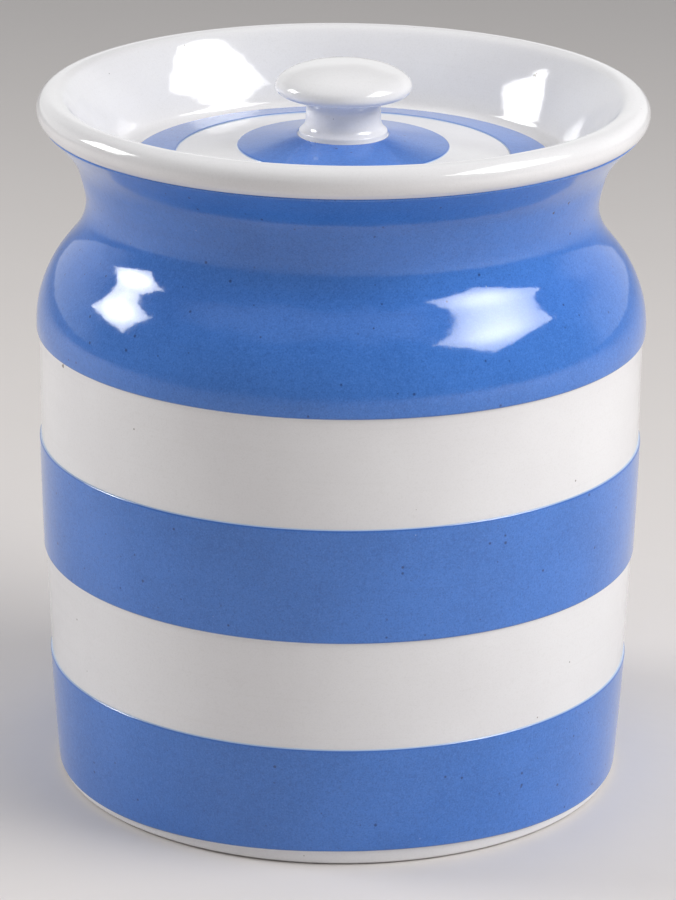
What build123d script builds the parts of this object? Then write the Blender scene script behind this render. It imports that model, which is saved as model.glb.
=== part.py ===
"""Biscuit jar: a banded earthenware jar with a flared mouth, and a drop-in lid with a mushroom knob.

Millimetres, +Z up. The origin is at the centre of the foot, on the surface the jar stands on.
Every piece is round, so each one is a profile of (radius, height) points turned about the Z axis.
"""
from build123d import *
from math import cos, radians, sin, sqrt
import os

# Jar, outside
foot_radius = 71.6
foot_flat_radius = 69.6     # the foot's flat face ends here, and its outer edge lifts clear
foot_lift = 0.35
wall_radius = 75.9
wall_top = 112.0            # the wall stands upright here, and the shoulder starts
crest_radius = 76.2         # the shoulder swells a little past the wall before it turns in
crest_height = 119.5
neck_radius = 63.5
neck_height = 149.0
rim_radius = 76.0
rim_height = 177.0
rim_roll = 4.0              # radius of the rolled rim's section
rim_start = -65             # degrees round that section where the flare's outside meets it
rim_end = 142               # and where the mouth's inside leaves it
heel_round = 0.8            # edges of the foot

# Jar, inside
wall_thickness = 6.3
floor_height = 9.0
floor_round = 9.0
foot_ring_radius = 64.6     # inside of the foot ring
foot_recess = 1.8
ledge_height = 155.5        # top of the ledge that carries the lid
ledge_thickness = 5.5
ledge_slope = 3.0           # the ledge's underside falls by this much out to the neck's wall
seat_radius = 55.4          # wall round the ledge
seat_depth = 2.2
seat_lip_round = 0.7
seat_corner_round = 0.8
shelf_radius = 58.9         # a shelf runs from the seat out to the foot of the flare
shelf_round = 3.0
mouth_radius = 49.6
mouth_top_round = 1.2
mouth_bottom_round = 1.8
neck_inner_radius = 57.2
neck_corner_round = 2.0

# Coloured slip, a thin raised layer of clay
slip = 0.5
lid_slip = 0.3
slip_round = 0.25
shoulder_band_bottom = 116.4
middle_band_top = 89.0
middle_band_bottom = 59.4
base_band_top = 31.5
base_band_bottom = 1.3

# Lid
lid_play = 1.2              # gap round the lid and round its locating ring
seat_gap = 0.3              # the lid touches its ledge at a few high spots and clears it elsewhere
lid_radius = seat_radius - lid_play
lid_edge_height = 159.1
lid_edge_round = 1.5
lid_under_round = 0.6
lid_thickness = 5.3
ring_drop = 8.3             # how far the locating ring reaches below the lid's rim
ring_thickness = 4.4
ring_draft = 0.4
ring_tip_round = 1.4
ring_root = 0.5             # the lid's underside starts this far above the rim's seat
ring_root_round = 2.0
lid_outer_band_radius = 52.9
lid_outer_band_inner_radius = 41.3
lid_inner_band_radius = 26.6

# Knob
knob_foot_radius = 11.0
knob_foot_height = 165.9
knob_foot_edge = 1.2
knob_foot_round = 0.5
knob_waist_radius = 9.35
knob_waist_height = 171.5
knob_neck_radius = 10.2     # where the neck runs into the cap's underside
knob_top = 184.3
cap_radius = 17.0
cap_height = 178.2          # height of the cap's widest place
cap_drop = 2.6              # from there down to the cap's underside
cap_neck_round = 1.0

wall_arc_radius = ((wall_radius - foot_radius) ** 2 + wall_top ** 2) / (2 * (wall_radius - foot_radius))
rim_centre = (rim_radius - rim_roll, rim_height - rim_roll)


def wall_at(height):
    """Outside radius of the barrel wall's clay at a height."""
    return wall_radius - wall_arc_radius + sqrt(wall_arc_radius ** 2 - (wall_top - height) ** 2)


def wall_arc(start, end, out=0.0):
    """The barrel wall's curve between two heights, moved out by a distance."""
    heights = (start, (start + end) / 2, end)
    return ThreePointArc(*[(wall_at(height) + out, height) for height in heights])


def shoulder_curve(out=0.0):
    """The outside of the shoulder, neck and flare from the wall up, moved out by a distance."""
    turn = radians(rim_start)
    stations = [
        (wall_radius, wall_top),
        (crest_radius, crest_height),
        (74.6, 127.5),
        (71.0, 134.5),
        (65.7, 141.5),
        (neck_radius, neck_height),
        (64.7, 156.0),
        (66.1, 160.2),
        (69.0, 164.6),
        (rim_centre[0] + rim_roll * cos(turn), rim_centre[1] + rim_roll * sin(turn)),
    ]
    return Spline(*[(radius + out, height) for radius, height in stations], tangents=[(0, 1), (0.72, 0.69)])


def lid_curve(up=0.0):
    """The top of the lid from the knob's foot out to the edge, moved up by a distance."""
    stations = [
        (knob_foot_radius, knob_foot_height),
        (lid_inner_band_radius, 162.95),
        (lid_outer_band_inner_radius, 160.85),
        (lid_radius, lid_edge_height),
    ]
    return Spline(*[(radius, height + up) for radius, height in stations])


def strip_ends(clay, surface):
    """Joins the ends of the clay's curve and the slip's curve over it."""
    Line(clay @ 0, surface @ 0)
    Line(clay @ 1, surface @ 1)


def slip_corners(profile):
    """The outer corners at the two ends of a slip band's section, the lower one first."""
    levels = profile.vertices().group_by(Axis.Y)
    return [level.sort_by(Axis.X)[-1] for level in (levels[0], levels[-1])]


def corner(profile, radius, height):
    """The vertex of a profile nearest to a point."""
    return profile.vertices().sort_by_distance((radius, height, 0))[0]


# White clay jar
with BuildPart() as jar_body:
    with BuildSketch(Plane.XZ) as jar_profile:
        with BuildLine():
            Polyline(
                (0, floor_height),
                (0, foot_recess),
                (foot_ring_radius - foot_recess, foot_recess),
                (foot_ring_radius, 0),
                (foot_flat_radius, 0),
                (wall_at(foot_lift), foot_lift),
            )
            wall_arc(foot_lift, wall_top)
            shoulder_curve()
            rim = CenterArc(rim_centre, rim_roll, start_angle=rim_start, arc_size=rim_end - rim_start)
            funnel = [(64.45, 169.1), (61.9, 164.6), (59.9, 160.3)]
            Spline(rim @ 1, *funnel, tangents=[rim % 1, (-0.39, -0.92)])
            ledge_root = (neck_inner_radius, ledge_height - ledge_thickness - ledge_slope)
            Polyline(
                funnel[-1],
                (shelf_radius, ledge_height + seat_depth),
                (seat_radius, ledge_height + seat_depth),
                (seat_radius, ledge_height),
                (mouth_radius, ledge_height),
                (mouth_radius, ledge_height - ledge_thickness),
                ledge_root,
            )
            Spline(
                ledge_root,
                (57.6, 141.5),
                (63.1, 134.5),
                (67.7, 127.5),
                (wall_radius - wall_thickness, wall_top),
                tangents=[(0, -1), (0, -1)],
            )
            wall_arc(wall_top, floor_height, -wall_thickness)
            Line((wall_at(floor_height) - wall_thickness, floor_height), (0, floor_height))
        make_face()
        fillet(corner(jar_profile, foot_radius, foot_lift), heel_round)
        fillet(corner(jar_profile, foot_ring_radius, 0), heel_round)
        fillet(corner(jar_profile, wall_at(floor_height) - wall_thickness, floor_height), floor_round)
        fillet(corner(jar_profile, mouth_radius, ledge_height), mouth_top_round)
        fillet(corner(jar_profile, mouth_radius, ledge_height - ledge_thickness), mouth_bottom_round)
        fillet(corner(jar_profile, *ledge_root), neck_corner_round)
        fillet(corner(jar_profile, seat_radius, ledge_height), seat_corner_round)
        fillet(corner(jar_profile, seat_radius, ledge_height + seat_depth), seat_lip_round)
        fillet(corner(jar_profile, shelf_radius, ledge_height + seat_depth), shelf_round)
    revolve(axis=Axis.Z)
jar_body.part.label = "jar_body"

# Blue slip over the shoulder and neck
with BuildPart() as shoulder_band:
    with BuildSketch(Plane.XZ) as shoulder_profile:
        with BuildLine():
            strip_ends(shoulder_curve(), shoulder_curve(slip))
        make_face()
        with Locations((wall_radius, wall_top)):
            bare_wall = shoulder_band_bottom - wall_top
            Rectangle(wall_thickness, bare_wall, align=(Align.CENTER, Align.MIN), mode=Mode.SUBTRACT)
        lower_corner, _ = slip_corners(shoulder_profile)
        fillet(lower_corner, slip_round)
    revolve(axis=Axis.Z)
shoulder_band.part.label = "shoulder_band"

# Blue slip round the middle of the wall
with BuildPart() as middle_band:
    with BuildSketch(Plane.XZ) as middle_profile:
        with BuildLine():
            span = (middle_band_bottom, middle_band_top)
            strip_ends(wall_arc(*span), wall_arc(*span, slip))
        make_face()
        fillet(slip_corners(middle_profile), slip_round)
    revolve(axis=Axis.Z)
middle_band.part.label = "middle_band"

# Blue slip round the bottom of the wall
with BuildPart() as base_band:
    with BuildSketch(Plane.XZ) as base_profile:
        with BuildLine():
            span = (base_band_bottom, base_band_top)
            strip_ends(wall_arc(*span), wall_arc(*span, slip))
        make_face()
        fillet(slip_corners(base_profile), slip_round)
    revolve(axis=Axis.Z)
base_band.part.label = "base_band"

# White clay lid, with its locating ring beneath
with BuildPart() as lid_disc:
    with BuildSketch(Plane.XZ) as lid_profile:
        with BuildLine():
            seat = ledge_height + seat_gap
            ring_radius = mouth_radius - lid_play
            ring_tip = seat - ring_drop
            ring_inner_radius = ring_radius - ring_thickness
            lid_curve()
            Polyline(
                (0, knob_foot_height - lid_thickness),
                (0, knob_foot_height),
                (knob_foot_radius, knob_foot_height),
            )
            Polyline(
                (lid_radius, lid_edge_height),
                (lid_radius, seat),
                (ring_radius, seat),
                (ring_radius - ring_draft, ring_tip),
                (ring_inner_radius + ring_draft, ring_tip),
                (ring_inner_radius, seat + ring_root),
            )
            Spline(
                (ring_inner_radius, seat + ring_root),
                (lid_inner_band_radius, 158.1),
                (0, knob_foot_height - lid_thickness),
                tangents=[(-1, 0.09), (-1, 0)],
            )
        make_face()
        fillet(corner(lid_profile, lid_radius, lid_edge_height), lid_edge_round)
        fillet(corner(lid_profile, lid_radius, seat), lid_under_round)
        fillet(corner(lid_profile, ring_radius - ring_draft, ring_tip), ring_tip_round)
        fillet(corner(lid_profile, ring_inner_radius + ring_draft, ring_tip), ring_tip_round)
        fillet(corner(lid_profile, ring_inner_radius, seat + ring_root), ring_root_round)
    revolve(axis=Axis.Z)
lid_disc.part.label = "lid_disc"

# Blue slip ring near the lid's edge
with BuildPart() as lid_outer_band:
    with BuildSketch(Plane.XZ):
        with BuildLine():
            strip_ends(lid_curve(), lid_curve(lid_slip))
        make_face()
    revolve(axis=Axis.Z)
    with BuildSketch(Plane.XY.offset(ledge_height)):
        Circle(lid_outer_band_radius)
        Circle(lid_outer_band_inner_radius, mode=Mode.SUBTRACT)
    extrude(amount=rim_height - ledge_height, mode=Mode.INTERSECT)
lid_outer_band.part.label = "lid_outer_band"

# Blue slip disc round the knob
with BuildPart() as lid_inner_band:
    with BuildSketch(Plane.XZ):
        with BuildLine():
            strip_ends(lid_curve(), lid_curve(lid_slip))
        make_face()
    revolve(axis=Axis.Z)
    with BuildSketch(Plane.XY.offset(ledge_height)):
        Circle(lid_inner_band_radius)
    extrude(amount=rim_height - ledge_height, mode=Mode.INTERSECT)
lid_inner_band.part.label = "lid_inner_band"

# White mushroom knob
with BuildPart() as lid_knob:
    with BuildSketch(Plane.XZ) as knob_profile:
        with BuildLine():
            cap_edge = (cap_radius, cap_height)
            neck_top = (knob_neck_radius, cap_height - cap_drop)
            Bezier(cap_edge, (cap_radius, knob_top), (0, knob_top), weights=[1, sqrt(0.5), 1])
            Bezier(cap_edge, (cap_radius, cap_height - cap_drop), neck_top)
            Polyline(
                (0, knob_top),
                (0, knob_foot_height),
                (knob_foot_radius, knob_foot_height),
                (knob_foot_radius, knob_foot_height + knob_foot_edge),
            )
            Spline(
                (knob_foot_radius, knob_foot_height + knob_foot_edge),
                (knob_waist_radius + 0.4, 168.4),
                (knob_waist_radius, knob_waist_height),
                neck_top,
                tangents=[(-1, 0.7), (0.45, 0.9)],
            )
        make_face()
        fillet(corner(knob_profile, knob_foot_radius, knob_foot_height + knob_foot_edge), knob_foot_round)
        fillet(corner(knob_profile, *neck_top), cap_neck_round)
    revolve(axis=Axis.Z)
lid_knob.part.label = "lid_knob"

os.makedirs("parts", exist_ok=True)
pieces = (
    jar_body,
    shoulder_band,
    middle_band,
    base_band,
    lid_disc,
    lid_outer_band,
    lid_inner_band,
    lid_knob,
)
for piece in pieces:
    export_step(piece.part, f"parts/{piece.part.label}.step")
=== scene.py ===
"""Looks of a biscuit jar: white earthenware with raised bands of blue slip under a clear glossy glaze.

Every piece is turned anew on a lathe of code. Its outline is read from the node that it stands for, so it
keeps that node's place and size, and it gains what a potter's hands leave: soft turning rings, a slightly
oval wall, and bands of slip whose edges are rounded by the glaze and wander a little round the pot.
Metres, +Z up, with the jar's axis on the Z axis.
"""
import bmesh
import bpy
import numpy as np
from math import pi, radians, tau
from mathutils import Matrix, Vector


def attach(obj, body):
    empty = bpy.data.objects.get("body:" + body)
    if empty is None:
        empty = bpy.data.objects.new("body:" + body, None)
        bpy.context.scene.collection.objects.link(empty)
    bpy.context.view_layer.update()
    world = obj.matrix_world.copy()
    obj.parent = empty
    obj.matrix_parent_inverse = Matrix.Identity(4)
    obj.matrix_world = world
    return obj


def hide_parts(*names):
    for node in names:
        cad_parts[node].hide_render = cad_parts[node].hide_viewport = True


MM = 0.001

# Lathe
SEGMENTS = 192                  # steps round the axis
MERGE = 0.002 * MM              # vertices closer than this are one
FINE_STEP = 1.1 * MM            # longest step along an outline that shows
COARSE_STEP = 4.0 * MM          # and along one inside the jar
CORNER = radians(24)            # an outline that turns by more than this at a point has a corner there
SHARP = radians(38)             # edges between faces at more than this angle shade as edges
FINE_RADIUS = 63.5 * MM         # the jar is cut finely outside this radius
FINE_HEIGHT = 150 * MM          # and above this height

# Bands of slip
FEATHER = 0.75 * MM             # width of a band's rounded edge
EMBED = 0.12 * MM               # how deep a band's edge lies in the clay
UNDERSIDE = 1.6 * EMBED         # and its underside
EDGE_STEPS = (0, 0.12, 0.24, 0.37, 0.5, 0.64, 0.8, 1.0, 1.35)   # places across the edge, in feathers
EDGE_SWELL = 2.4                # how squarely the edge rounds off
BAND_STEP = 1.3 * MM
TRACK_STEP = 0.1 * MM
RIM_TUCK = 0.1 * MM             # the top band runs on this far over the root of the rolled rim

# Hands of the potter
RING_DEPTH = 0.035 * MM         # turning rings
RINGS = ((2.7, 0.8, 0.3), (4.6, -0.5, 0.4), (9.5, 0.3, 0.3))    # their lengths in mm, drifts and shares
OVAL = 0.09 * MM                # how much the wall's radius changes round the pot
OVAL_TURN = 0.7                 # radians, the oval's phase at the foot
OVAL_TWIST = 6                  # and how much it gains per metre of height
CENTRED = 20 * MM               # nearer to the axis than this, a piece runs truer
WAVES = (1, 2, 3, 5, 8, 13, 21)     # round the pot, in the line of a slip edge
WAVE_FALL = 0.7                 # the shorter waves are smaller by this power
WAVE_REACH = 2.2                # about what all of them together come to
EDGE_WANDER = 0.22 * MM         # how far a band's edge strays from its line
FOOT_WANDER = 0.5 * MM          # the lowest edge is less even, as the slip was wiped off by hand
FOOT_WIPE = 2.25 * MM           # and it was wiped off higher at the front
FOOT_WIPE_TURN = radians(6)     # the middle of that place, to the right of the front
FOOT_WIPE_NARROW = 7            # a higher power makes that place narrower

# Blemishes: each one's place and size, in millimetres
MARKS = (
    ((-67.9, -34.2, 115.6), 1.3),
    ((49.3, 43.2, 170.7), 1.3),
)
DARK_MARKS = (
    ((-35.3, -65.6, 47.6), 1.0),
    ((-17.7, -73.7, 93.2), 0.9),
    ((54.4, -37.7, 159.3), 0.9),
    ((50.6, -41.9, 157.9), 0.7),
)

# Camera
CAMERA_PLACE = (0, -1.0188, 0.4332)
CAMERA_YAW = radians(0.027)
CAMERA_PITCH = radians(18.975)
CAMERA_ROLL = radians(0.604)
CAMERA_LENS = 169.3             # mm, on a 36 mm sensor along the picture's long side


def curve_through(points, steps):
    """A smooth curve through points, cut into steps between each two, with real corners kept."""
    points = np.array(points)
    runs = np.diff(points, axis=0)
    headings = np.arctan2(runs[:, 1], runs[:, 0])
    turns = np.abs((np.diff(headings) + pi) % tau - pi)
    corners = [0, *[i + 1 for i, turn in enumerate(turns) if turn > CORNER], len(points) - 1]
    made = [points[:1]]
    for start, end in zip(corners[:-1], corners[1:]):
        stretch = points[start:end + 1]
        lengths = np.sqrt(np.linalg.norm(np.diff(stretch, axis=0), axis=1))
        knots = np.concatenate([[0], np.cumsum(lengths)])
        tangents = np.gradient(stretch, knots, axis=0, edge_order=1)
        for i in range(len(stretch) - 1):
            span = knots[i + 1] - knots[i]
            count = steps(stretch[i], stretch[i + 1])
            t = (np.arange(1, count + 1) / count)[:, None]
            start_weight = 2 * t ** 3 - 3 * t ** 2 + 1
            end_weight = 1 - start_weight
            start_pull = (t ** 3 - 2 * t ** 2 + t) * span
            end_pull = (t ** 3 - t ** 2) * span
            made.append(start_weight * stretch[i] + end_weight * stretch[i + 1]
                        + start_pull * tangents[i] + end_pull * tangents[i + 1])
    return np.concatenate(made)


def outline(node):
    """A node's section right of the axis, as ordered (radius, height) points, and whether it is a loop."""
    work = bmesh.new()
    work.from_mesh(node.data)
    bmesh.ops.remove_doubles(work, verts=work.verts, dist=MERGE)
    everything = work.verts[:] + work.edges[:] + work.faces[:]
    bmesh.ops.bisect_plane(work, geom=everything, dist=MERGE / 2, plane_no=(0, 1, 0),
                           clear_inner=True, clear_outer=True)
    bmesh.ops.remove_doubles(work, verts=work.verts, dist=MERGE)
    half = {vertex for vertex in work.verts if vertex.co.x >= -MERGE}

    def beside(vertex):
        return [edge.other_vert(vertex) for edge in vertex.link_edges if edge.other_vert(vertex) in half]

    ends = [vertex for vertex in half if len(beside(vertex)) == 1]
    chain = [min(ends or half, key=lambda vertex: (vertex.co.z, vertex.co.x))]
    while True:
        onward = [vertex for vertex in beside(chain[-1]) if vertex not in chain]
        if not onward:
            break
        chain.append(onward[0])
    points = [(max(vertex.co.x, 0), vertex.co.z) for vertex in chain]
    work.free()
    if ends:
        return [(0, points[0][1]), *points[points[0][0] < MERGE:len(points) - (points[-1][0] < MERGE)],
                (0, points[-1][1])], False
    return points + points[:1], True


def grid_mesh(name, radius, height, closed, values=None):
    """A mesh from rows of points round the axis: radius and height hold a value per row and per step."""
    rows, steps = radius.shape
    angle = np.arange(steps) * tau / steps
    points = np.stack([radius * np.cos(angle), radius * np.sin(angle), height], axis=2)
    starts_on_axis = not closed and radius[0].max() < MERGE
    ends_on_axis = not closed and radius[-1].max() < MERGE
    keep = slice(1 if starts_on_axis else 0, rows - 1 if ends_on_axis else rows)
    ring = points[keep]
    count = len(ring)
    verts = [*ring.reshape(-1, 3)]
    index = np.arange(count * steps).reshape(count, steps)
    onward = np.roll(index, -1, axis=1)
    last = count if closed else count - 1
    above = np.roll(index, -1, axis=0)
    above_onward = np.roll(onward, -1, axis=0)
    faces = np.stack([index, onward, above_onward, above], axis=2)[:last].reshape(-1, 4).tolist()
    for on_axis, row, turn in ((starts_on_axis, 0, 1), (ends_on_axis, -1, -1)):
        if on_axis:
            pole = len(verts)
            verts.append(np.array([0, 0, points[row, 0, 2]]))
            faces += [[pole, b, a][::turn] for a, b in zip(index[row], onward[row])]
    mesh = bpy.data.meshes.new(name)
    corners = [tuple(map(float, vertex)) for vertex in verts]
    mesh.from_pydata(corners, [], [list(map(int, face)) for face in faces])
    for label, value in (values or {}).items():
        layer = mesh.attributes.new(label, "FLOAT", "POINT")
        flat = np.concatenate([value[keep].reshape(-1), np.zeros(len(verts) - count * steps)])
        layer.data.foreach_set("value", flat.astype(np.float32))
    work = bmesh.new()
    work.from_mesh(mesh)
    bmesh.ops.recalc_face_normals(work, faces=work.faces)
    work.to_mesh(mesh)
    work.free()
    mesh.polygons.foreach_set("use_smooth", [True] * len(mesh.polygons))
    mesh.set_sharp_from_angle(angle=SHARP)
    piece = bpy.data.objects.new(name, mesh)
    bpy.context.scene.collection.objects.link(piece)
    return piece


def hand_turned(radius, height, angle):
    """How far a lathe-turned wall lies inside its true radius, at a height and an angle."""
    rings = 0
    for length, drift, share in RINGS:
        rings = rings + share * np.sin(tau * height / (length * MM) + drift * np.sin(angle) + length)
    oval = np.cos(2 * angle + OVAL_TURN + height * OVAL_TWIST)
    reach = np.clip(radius / CENTRED, 0, 1)
    return reach * (RING_DEPTH * (1 + rings) / 2 + OVAL * (1 + oval) / 2)


def wander(angle, seed):
    """A smooth random line round the pot, from about -1 to 1."""
    rng = np.random.default_rng(seed)
    line = 0
    for waves in WAVES:
        line = line + np.sin(waves * angle + rng.uniform(0, tau)) * rng.uniform(0.4, 1) / waves ** WAVE_FALL
    return line / WAVE_REACH


def everywhere(radius, height):
    """Says that all of a piece's outline shows."""
    return True


def turned(name, node, visible=everywhere, true_wall=False):
    """Turns a piece from a node's outline. visible(radius, height) says where the outline is cut finely."""
    points, closed = outline(node)

    def steps(a, b):
        middle = (np.array(a) + b) / 2
        step = FINE_STEP if visible(*middle) else COARSE_STEP
        return max(1, int(np.ceil(np.linalg.norm(np.array(b) - a) / step)))

    profile = curve_through(points, steps)
    if closed:
        profile = profile[:-1]
    profile[:, 1] = np.maximum(profile[:, 1], min(point[1] for point in points))
    angle = np.arange(SEGMENTS) * tau / SEGMENTS
    radius = np.repeat(profile[:, :1], SEGMENTS, axis=1)
    height = np.repeat(profile[:, 1:], SEGMENTS, axis=1)
    if not true_wall:
        radius = radius - hand_turned(radius, height, angle)
    piece = grid_mesh(name, np.maximum(radius, 0), height, closed)
    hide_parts(node.name)
    return piece


class Track:
    """The outline of a clay piece, as a path that bands of slip are laid along."""

    def __init__(self, node):
        points, _ = outline(node)
        self.points = curve_through(points, self.steps)
        runs = np.linalg.norm(np.diff(self.points, axis=0), axis=1)
        self.length = np.concatenate([[0], np.cumsum(runs)])
        tangents = np.gradient(self.points, self.length, axis=0)
        tangents /= np.linalg.norm(tangents, axis=1)[:, None]
        self.normals = np.stack([tangents[:, 1], -tangents[:, 0]], axis=1)

    @staticmethod
    def steps(a, b):
        return max(1, int(np.linalg.norm(np.array(b) - a) / TRACK_STEP))

    def nearest(self, points):
        """For each point, how far along the path its nearest place is, and how far off it lies."""
        gaps = np.linalg.norm(self.points[None] - np.array(points)[:, None], axis=2)
        return self.length[gaps.argmin(axis=1)], gaps.min(axis=1)

    def at(self, along):
        """Radius, height and outward normal at places along the path."""
        columns = [*self.points.T, *self.normals.T]
        return [np.interp(along, self.length, column) for column in columns]


def uneven(depth, seed):
    """An edge that strays up to a depth inside its line."""
    return lambda angle: depth * (1 + wander(angle, seed)) / 2


def tucked(angle):
    """An edge that runs on past its line, over the root of the rolled rim."""
    return -RIM_TUCK * np.ones_like(angle)


def wiped(angle):
    """The lowest edge, which was wiped clean by hand, most of all at the front."""
    front = ((1 - np.sin(angle - FOOT_WIPE_TURN)) / 2) ** FOOT_WIPE_NARROW
    return FOOT_WIPE * front + uneven(FOOT_WANDER, 31)(angle)


def slip_band(name, node, track, low, high, true_wall=False):
    """Lays a band of slip along a track, where the node lies. low and high give its two edges' own lines."""
    along, off = track.nearest(outline(node)[0])
    thickness = off.max()
    angle = np.arange(SEGMENTS) * tau / SEGMENTS
    first = along.min() + low(angle)
    last = along.max() - high(angle)
    edge = np.array(EDGE_STEPS) * FEATHER
    inner = int(np.ceil((along.max() - along.min() - 2 * edge[-1]) / BAND_STEP))
    share = np.linspace(0, 1, inner + 1)[1:-1, None]
    start = first + edge[:, None]
    end = last - edge[::-1, None]
    place = np.concatenate([start, start[-1] + (end[0] - start[-1]) * share, end])
    from_low = (place - first) / FEATHER
    from_high = (last - place) / FEATHER
    swell = np.sqrt(1 - (1 - np.clip(np.minimum(from_low, from_high), 0, 1)) ** EDGE_SWELL)
    cover = np.clip(from_low if high is tucked else np.minimum(from_low, from_high), 0, 1)
    radius, height, out, up = track.at(place)
    lift = -EMBED + (thickness + EMBED) * swell
    back = -UNDERSIDE * np.ones_like(lift)
    radius = np.concatenate([radius + out * lift, (radius + out * back)[::-1]])
    height = np.concatenate([height + up * lift, (height + up * back)[::-1]])
    if not true_wall:
        radius = radius - hand_turned(radius, height, angle)
    values = {"cover": np.concatenate([cover, np.zeros_like(cover)])}
    piece = grid_mesh(name, radius, height, True, values)
    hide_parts(node.name)
    return piece


# ---------------------------------------------------------------- materials

class Nodes:
    """Short names for the shader nodes of a material, a lamp or the world."""

    def __init__(self, owner):
        owner.use_nodes = True
        self.owner = owner
        self.tree = owner.node_tree
        self.tree.nodes.clear()

    def add(self, kind, inputs=None, **settings):
        node = self.tree.nodes.new(kind)
        for setting, value in settings.items():
            setattr(node, setting, value)
        for socket, value in (inputs or {}).items():
            if isinstance(value, bpy.types.NodeSocket):
                self.tree.links.new(value, node.inputs[socket])
            else:
                node.inputs[socket].default_value = value
        return node

    def place(self, stretch=(1, 1, 1)):
        """Places in millimetres, stretched along the axes."""
        here = self.add("ShaderNodeTexCoord").outputs["Object"]
        scale = [part / MM for part in stretch]
        return self.add("ShaderNodeVectorMath", {0: here, 1: scale}, operation="MULTIPLY").outputs[0]

    def noise(self, place, scale, detail=2.0, roughness=0.5):
        settings = {"Vector": place, "Scale": scale, "Detail": detail, "Roughness": roughness}
        return self.add("ShaderNodeTexNoise", settings).outputs["Fac"]

    def math(self, operation, a, b):
        return self.add("ShaderNodeMath", {0: a, 1: b}, operation=operation).outputs[0]

    def ramp(self, value, low, high, to_low=0.0, to_high=1.0):
        settings = {"Value": value, "From Min": low, "From Max": high, "To Min": to_low, "To Max": to_high}
        return self.add("ShaderNodeMapRange", settings, interpolation_type="SMOOTHSTEP").outputs[0]

    def mix(self, factor, a, b):
        settings = {"Factor": factor, 6: a, 7: b}
        return self.add("ShaderNodeMix", settings, data_type="RGBA").outputs[2]

    def layer(self, tone, colour, value, low, high, share):
        """Lays a colour over a tone, up to a share of it, as a value goes from low to high."""
        return self.mix(self.ramp(value, low, high, 0, share), tone, colour)

    def speckle(self, tone, colour, specks, share):
        """Lays a share of a colour over a tone where specks are."""
        return self.mix(self.math("MULTIPLY", specks, share), tone, colour)

    def relief(self, *parts):
        """A height in millimetres: the sum of each part's value times its depth."""
        height = 0.0
        for value, depth in parts:
            height = self.math("ADD", height, self.math("MULTIPLY", value, depth))
        return height

    def specks(self, spacing, size, kept, seed=0.0):
        """Round specks up to a size, one in a cube of that spacing where a random share of them is kept."""
        here = self.add("ShaderNodeVectorMath", {0: self.place(), 1: (seed, seed, seed)}, operation="ADD")
        settings = {"Vector": here.outputs[0], "Scale": 1 / spacing}
        cells = self.add("ShaderNodeTexVoronoi", settings, feature="F1")
        random = self.add("ShaderNodeSeparateColor", {0: cells.outputs["Color"]})
        reach = self.math("MULTIPLY", random.outputs[1], size / spacing)
        near = self.math("DIVIDE", cells.outputs["Distance"], self.math("ADD", reach, 0.001))
        chosen = self.math("LESS_THAN", random.outputs[0], kept)
        return self.math("MULTIPLY", self.ramp(near, 1.0, 0.45), chosen)

    def spot(self, place, size):
        """A soft round spot of a size at a place, both in millimetres."""
        here = self.place()
        gap = self.add("ShaderNodeVectorMath", {0: here, 1: place}, operation="DISTANCE").outputs["Value"]
        stray = self.ramp(self.noise(here, 1.4), 0.3, 0.7, -size / 4, size / 4)
        return self.ramp(self.math("ADD", gap, stray), size / 2, size / 4)

    def finish(self, colour, height, **surface):
        bump = self.add("ShaderNodeBump", {"Height": height, "Strength": 1.0, "Distance": MM})
        shader = self.add("ShaderNodeBsdfPrincipled", {"Base Color": colour, "Normal": bump.outputs[0]})
        for socket, value in surface.items():
            name = socket.replace("_", " ")
            if isinstance(value, bpy.types.NodeSocket):
                self.tree.links.new(value, shader.inputs[name])
            else:
                shader.inputs[name].default_value = value
        self.add("ShaderNodeOutputMaterial", {"Surface": shader.outputs[0]})
        return self.owner


GLAZE_IOR = 1.65
GLAZE_ROUGHNESS = 0.06
GLAZE_UNEVEN = 0.05             # and up to this much rougher
WHITE_BLOOM = 0.15              # paleness at grazing angles
BLUE_BLOOM = 0.25
BLOOM_ROUGHNESS = 0.4

# Colours, linear: the clay under the glaze, then the blue slip
CLAY_DULL = (0.820, 0.810, 0.824, 1)
CLAY_BRIGHT = (0.850, 0.843, 0.856, 1)
CLAY_MOTTLE = (0.64, 0.62, 0.61, 1)
CLAY_GRIT = (0.60, 0.585, 0.58, 1)
CLAY_LINE = (0.70, 0.685, 0.67, 1)
IRON_SPECK = (0.16, 0.13, 0.11, 1)
IRON_MARK = (0.20, 0.17, 0.15, 1)

SLIP_DULL = (0.040, 0.174, 0.585, 1)
SLIP_BRIGHT = (0.050, 0.202, 0.665, 1)
SLIP_PALE_MOTTLE = (0.072, 0.232, 0.70, 1)
SLIP_DEEP_MOTTLE = (0.032, 0.132, 0.48, 1)
SLIP_LINE = (0.036, 0.148, 0.51, 1)
SLIP_PALE_GRIT = (0.078, 0.250, 0.74, 1)
SLIP_DEEP_GRIT = (0.026, 0.112, 0.42, 1)
SLIP_DARK_SPECK = (0.010, 0.040, 0.17, 1)
SLIP_DARK_MARK = (0.012, 0.020, 0.05, 1)
SLIP_PALE_SPECK = (0.42, 0.56, 0.80, 1)
SLIP_EDGE = (0.036, 0.125, 0.47, 1)         # deeper where it pools inside its edge
SLIP_FRINGE_AND_GLINT = (0.46, 0.58, 0.76, 1)         # and paler at the edge itself, where thin slip shows the clay, with a painted highlight of the glint along the edge


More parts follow.
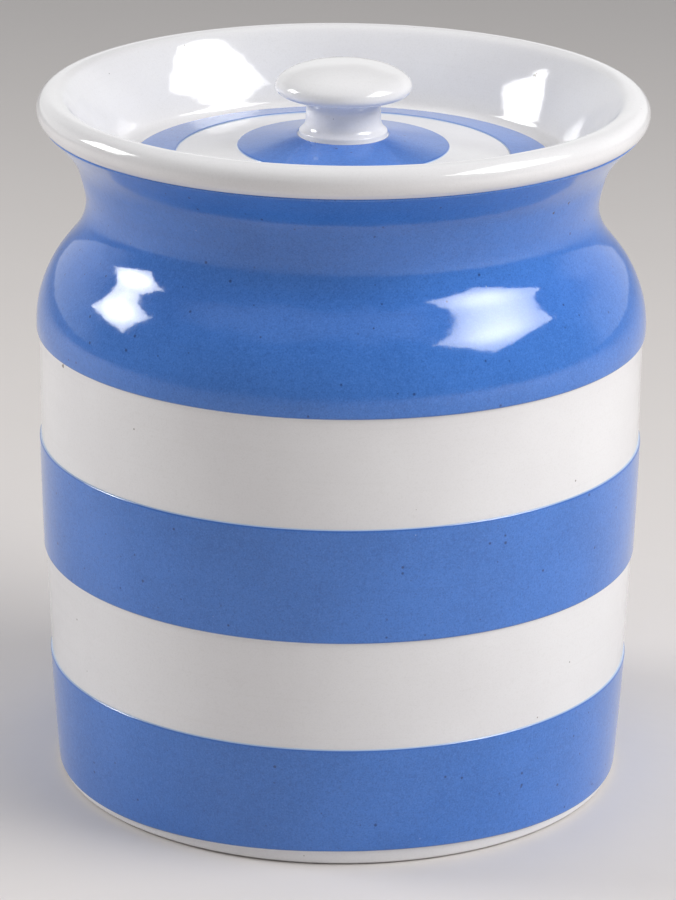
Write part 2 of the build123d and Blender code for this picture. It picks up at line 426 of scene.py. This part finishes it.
def white_glaze():
    """White clay under clear glaze, faintly mottled, with a few iron specks."""
    nodes = Nodes(bpy.data.materials.new("white_glaze"))
    place = nodes.place()
    broad = nodes.noise(place, 0.03, detail=3)
    fine = nodes.noise(place, 0.9, detail=3, roughness=0.6)
    grit = nodes.noise(place, 2.4, roughness=0.6)
    lines = nodes.noise(nodes.place(stretch=(0.02, 0.02, 1.1)), 1.0, detail=3)
    specks = nodes.specks(spacing=2.6, size=0.34, kept=0.05)
    tone = nodes.mix(nodes.ramp(broad, 0.35, 0.65), CLAY_DULL, CLAY_BRIGHT)
    tone = nodes.layer(tone, CLAY_MOTTLE, fine, 0.5, 0.8, share=0.12)
    tone = nodes.layer(tone, CLAY_GRIT, grit, 0.45, 0.75, share=0.14)
    tone = nodes.layer(tone, CLAY_LINE, lines, 0.55, 0.8, share=0.12)
    tone = nodes.speckle(tone, IRON_SPECK, specks, share=0.75)
    for spot in MARKS:
        tone = nodes.mix(nodes.spot(*spot), tone, IRON_MARK)
    ripple = nodes.noise(place, 0.16)
    grain = nodes.noise(place, 1.3)
    height = nodes.relief((ripple, 0.05), (grain, 0.0022), (lines, 0.004))
    roughness = nodes.ramp(fine, 0.3, 0.8, GLAZE_ROUGHNESS, GLAZE_ROUGHNESS + GLAZE_UNEVEN)
    return nodes.finish(tone, height, Roughness=roughness, IOR=GLAZE_IOR,
                        Sheen_Weight=WHITE_BLOOM, Sheen_Roughness=BLOOM_ROUGHNESS)


def blue_slip():
    """Cobalt blue slip under clear glaze: mottled, lathe-lined, specked, and pale where it thins out, which
    also paints a highlight along its edges.
    """
    nodes = Nodes(bpy.data.materials.new("blue_slip"))
    place = nodes.place()
    broad = nodes.noise(place, 0.045, detail=4, roughness=0.55)
    fine = nodes.noise(place, 0.75, detail=4, roughness=0.65)
    grit = nodes.noise(place, 2.4, roughness=0.6)
    lines = nodes.noise(nodes.place(stretch=(0.015, 0.015, 0.9)), 1.0, detail=4, roughness=0.6)
    dark = nodes.specks(spacing=1.9, size=0.54, kept=0.15)
    pale = nodes.specks(spacing=2.3, size=0.22, kept=0.06, seed=37.0)
    cover = nodes.add("ShaderNodeAttribute", attribute_name="cover").outputs["Fac"]
    tone = nodes.mix(nodes.ramp(broad, 0.3, 0.7), SLIP_DULL, SLIP_BRIGHT)
    tone = nodes.layer(tone, SLIP_PALE_MOTTLE, fine, 0.42, 0.75, share=0.45)
    tone = nodes.layer(tone, SLIP_DEEP_MOTTLE, fine, 0.5, 0.25, share=0.35)
    tone = nodes.layer(tone, SLIP_LINE, lines, 0.5, 0.8, share=0.30)
    tone = nodes.layer(tone, SLIP_PALE_GRIT, grit, 0.5, 0.75, share=0.55)
    tone = nodes.layer(tone, SLIP_DEEP_GRIT, grit, 0.5, 0.25, share=0.55)
    tone = nodes.speckle(tone, SLIP_DARK_SPECK, dark, share=0.75)
    for spot in DARK_MARKS:
        tone = nodes.mix(nodes.spot(*spot), tone, SLIP_DARK_MARK)
    tone = nodes.speckle(tone, SLIP_PALE_SPECK, pale, share=0.45)
    tone = nodes.layer(tone, SLIP_EDGE, cover, 0.95, 0.5, share=0.6)
    # pale fringe at each edge: partly clay showing through thin slip, partly a painted highlight of the
    # edge's glint
    tone = nodes.mix(nodes.ramp(cover, 0.05, 0.45), SLIP_FRINGE_AND_GLINT, tone)
    ripple = nodes.noise(place, 0.16)
    grain = nodes.noise(place, 1.1)
    height = nodes.relief((ripple, 0.06), (grain, 0.004), (lines, 0.006), (pale, -0.03))
    roughness = nodes.ramp(fine, 0.3, 0.8, GLAZE_ROUGHNESS, GLAZE_ROUGHNESS + GLAZE_UNEVEN)
    return nodes.finish(tone, height, Roughness=roughness, IOR=GLAZE_IOR,
                        Sheen_Weight=BLUE_BLOOM, Sheen_Roughness=BLOOM_ROUGHNESS)


# ---------------------------------------------------------------- stage

FLOOR_REACH = 6.0
FLOOR_DULL = (0.685, 0.650, 0.630, 1)
FLOOR_BRIGHT = (0.710, 0.674, 0.654, 1)
# painted shade: a darker far tone for the floor, standing in for light that falls off behind the jar
FLOOR_FAR_PAINTED_SHADE = (0.545, 0.522, 0.515, 1)
SHADE_FADE_START = 200                # mm behind the jar's axis, where the floor's painted shade begins
SHADE_FADE_END = 1000

KEY_PLACE = (0.932, -0.347, 0.885)
KEY_FACES = (-0.404, -0.07, -0.912)
KEY_SIZE = (0.9, 0.64)
KEY_RADIANCE = 8.3
FILL_PLACE = (-1.038, 0.192, 0.631)
FILL_FACES = (0.90, -0.19, -0.42)
FILL_SIZE = (0.45, 0.38)
FILL_RADIANCE = 12.5
LAMP_MIDDLE = 1.5               # how bright a lamp is in its middle
LAMP_EDGE = 0.6                 # and at its edge, as shares of its radiance

BACKDROP = (0.80, 0.80, 0.80, 1)
FRONT = (0.26, 0.26, 0.26, 1)
UPPER_WALL = (0.24, 0.24, 0.24, 1)
CEILING = (0.56, 0.56, 0.56, 1)
BACKDROP_FADE = (0.12, 0.6)     # how far back its tone fades in, where 1 is straight behind the jar
UPPER_WALL_FADE = (0.26, 0.5)   # and how far up, where 1 is straight above it
CEILING_FADE = (0.66, 0.88)
RAGGED = 0.06                   # how far the fades stray


def floor():
    """A wide pale floor with painted shade that darkens it into the distance, standing in for light falling
    off.
    """
    mesh = bpy.data.meshes.new("floor")
    corners = [(x * FLOOR_REACH, y * FLOOR_REACH, 0) for x, y in ((-1, -1), (1, -1), (1, 1), (-1, 1))]
    mesh.from_pydata(corners, [], [(0, 1, 2, 3)])
    piece = bpy.data.objects.new("floor", mesh)
    bpy.context.scene.collection.objects.link(piece)
    nodes = Nodes(bpy.data.materials.new("floor_paper"))
    place = nodes.place()
    grain = nodes.noise(place, 0.02, detail=4)
    tone = nodes.mix(grain, FLOOR_DULL, FLOOR_BRIGHT)
    far = nodes.add("ShaderNodeSeparateXYZ", {0: place}).outputs[1]
    # painted shade: the floor's colour darkens behind the jar, from where the shade fade starts to where it
    # ends
    tone = nodes.mix(nodes.ramp(far, SHADE_FADE_START, SHADE_FADE_END), tone, FLOOR_FAR_PAINTED_SHADE)
    mesh.materials.append(nodes.finish(tone, grain, Roughness=0.6, IOR=1.4))


def softbox(name, place, faces, width, height, radiance):
    """A rectangular lamp at a place that faces a direction, brightest in its middle."""
    light = bpy.data.lights.new(name, "AREA")
    light.shape = "RECTANGLE"
    light.size = width
    light.size_y = height
    light.energy = radiance * pi * width * height
    nodes = Nodes(light)
    across = nodes.add("ShaderNodeNewGeometry").outputs["Parametric"]
    middle = (0.5, 0.5, 0)
    gap = nodes.add("ShaderNodeVectorMath", {0: across, 1: middle}, operation="DISTANCE").outputs["Value"]
    glow = nodes.add("ShaderNodeEmission", {"Strength": nodes.ramp(gap, 0.05, 0.6, LAMP_MIDDLE, LAMP_EDGE)})
    nodes.add("ShaderNodeOutputLight", {"Surface": glow.outputs[0]})
    lamp = bpy.data.objects.new(name, light)
    turn = Vector(faces).to_track_quat("-Z", "Y").to_matrix().to_4x4()
    lamp.matrix_world = Matrix.Translation(place) @ turn
    lamp.visible_camera = False
    bpy.context.scene.collection.objects.link(lamp)


def room():
    """The room round the jar: a pale backdrop low behind it, dark elsewhere, with a grey ceiling."""
    world = bpy.data.worlds.new("room")
    bpy.context.scene.world = world
    nodes = Nodes(world)
    direction = nodes.add("ShaderNodeTexCoord").outputs["Generated"]
    parts = nodes.add("ShaderNodeSeparateXYZ", {0: direction})
    ragged = nodes.noise(direction, 3.0)
    upward = nodes.math("ADD", parts.outputs[2], nodes.ramp(ragged, 0.3, 0.7, -RAGGED, RAGGED))
    behind = nodes.math("ADD", parts.outputs[1], nodes.ramp(ragged, 0.3, 0.7, RAGGED, -RAGGED))
    tone = nodes.mix(nodes.ramp(behind, *BACKDROP_FADE), FRONT, BACKDROP)
    tone = nodes.mix(nodes.ramp(upward, *UPPER_WALL_FADE), tone, UPPER_WALL)
    tone = nodes.mix(nodes.ramp(upward, *CEILING_FADE), tone, CEILING)
    background = nodes.add("ShaderNodeBackground", {"Color": tone, "Strength": 1.0})
    nodes.add("ShaderNodeOutputWorld", {"Surface": background.outputs[0]})


def camera():
    """The photo's viewpoint, as it was fitted to the jar's outlines."""
    data = bpy.data.cameras.new("camera")
    data.sensor_width = 36
    data.lens = CAMERA_LENS
    piece = bpy.data.objects.new("camera", data)
    turn = Matrix.Rotation(CAMERA_YAW, 4, "Z") @ Matrix.Rotation(pi / 2 - CAMERA_PITCH, 4, "X")
    piece.matrix_world = Matrix.Translation(CAMERA_PLACE) @ turn @ Matrix.Rotation(CAMERA_ROLL, 4, "Z")
    bpy.context.scene.collection.objects.link(piece)
    bpy.context.scene.camera = piece


def dress(piece, body, material):
    """Gives a piece its one material and slot, and the body that it moves with."""
    piece.data.materials.clear()
    piece.data.materials.append(material)
    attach(piece, body)


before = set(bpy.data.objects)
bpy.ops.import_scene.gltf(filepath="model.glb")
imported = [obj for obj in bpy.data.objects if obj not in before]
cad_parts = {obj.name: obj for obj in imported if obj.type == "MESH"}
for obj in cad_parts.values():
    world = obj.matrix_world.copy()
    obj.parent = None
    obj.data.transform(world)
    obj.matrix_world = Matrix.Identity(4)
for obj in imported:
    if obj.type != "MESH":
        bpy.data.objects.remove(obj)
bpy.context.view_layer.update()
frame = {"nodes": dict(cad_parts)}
node = frame["nodes"]

camera()
white = white_glaze()
blue = blue_slip()


def jar_outside(radius, height):
    """Whether a place on the jar's outline is in its outer wall or its open mouth, and not deep inside."""
    return radius > FINE_RADIUS or height > FINE_HEIGHT


jar = turned("jar", node["jar_body"], jar_outside)
dress(jar, "jar", white)
jar_track = Track(node["jar_body"])
for name, low, high in (
    ("shoulder_band", uneven(EDGE_WANDER, 11), tucked),
    ("middle_band", uneven(EDGE_WANDER, 21), uneven(EDGE_WANDER, 22)),
    ("base_band", wiped, uneven(EDGE_WANDER, 32)),
):
    band = slip_band(name.replace("band", "slip"), node[name], jar_track, low, high)
    dress(band, "jar", blue)

lid = turned("lid", node["lid_disc"], true_wall=True)
dress(lid, "lid", white)
lid_track = Track(node["lid_disc"])
for name, seeds in (("lid_outer_band", (41, 42)), ("lid_inner_band", (51, 52))):
    edges = [uneven(EDGE_WANDER, seed) for seed in seeds]
    band = slip_band(name.replace("band", "slip"), node[name], lid_track, *edges, true_wall=True)
    dress(band, "lid", blue)
knob = turned("knob", node["lid_knob"])
dress(knob, "lid", white)

floor()
softbox("key", KEY_PLACE, KEY_FACES, *KEY_SIZE, KEY_RADIANCE)
softbox("fill", FILL_PLACE, FILL_FACES, *FILL_SIZE, FILL_RADIANCE)
room()
bpy.context.scene.view_settings.view_transform = "Standard"
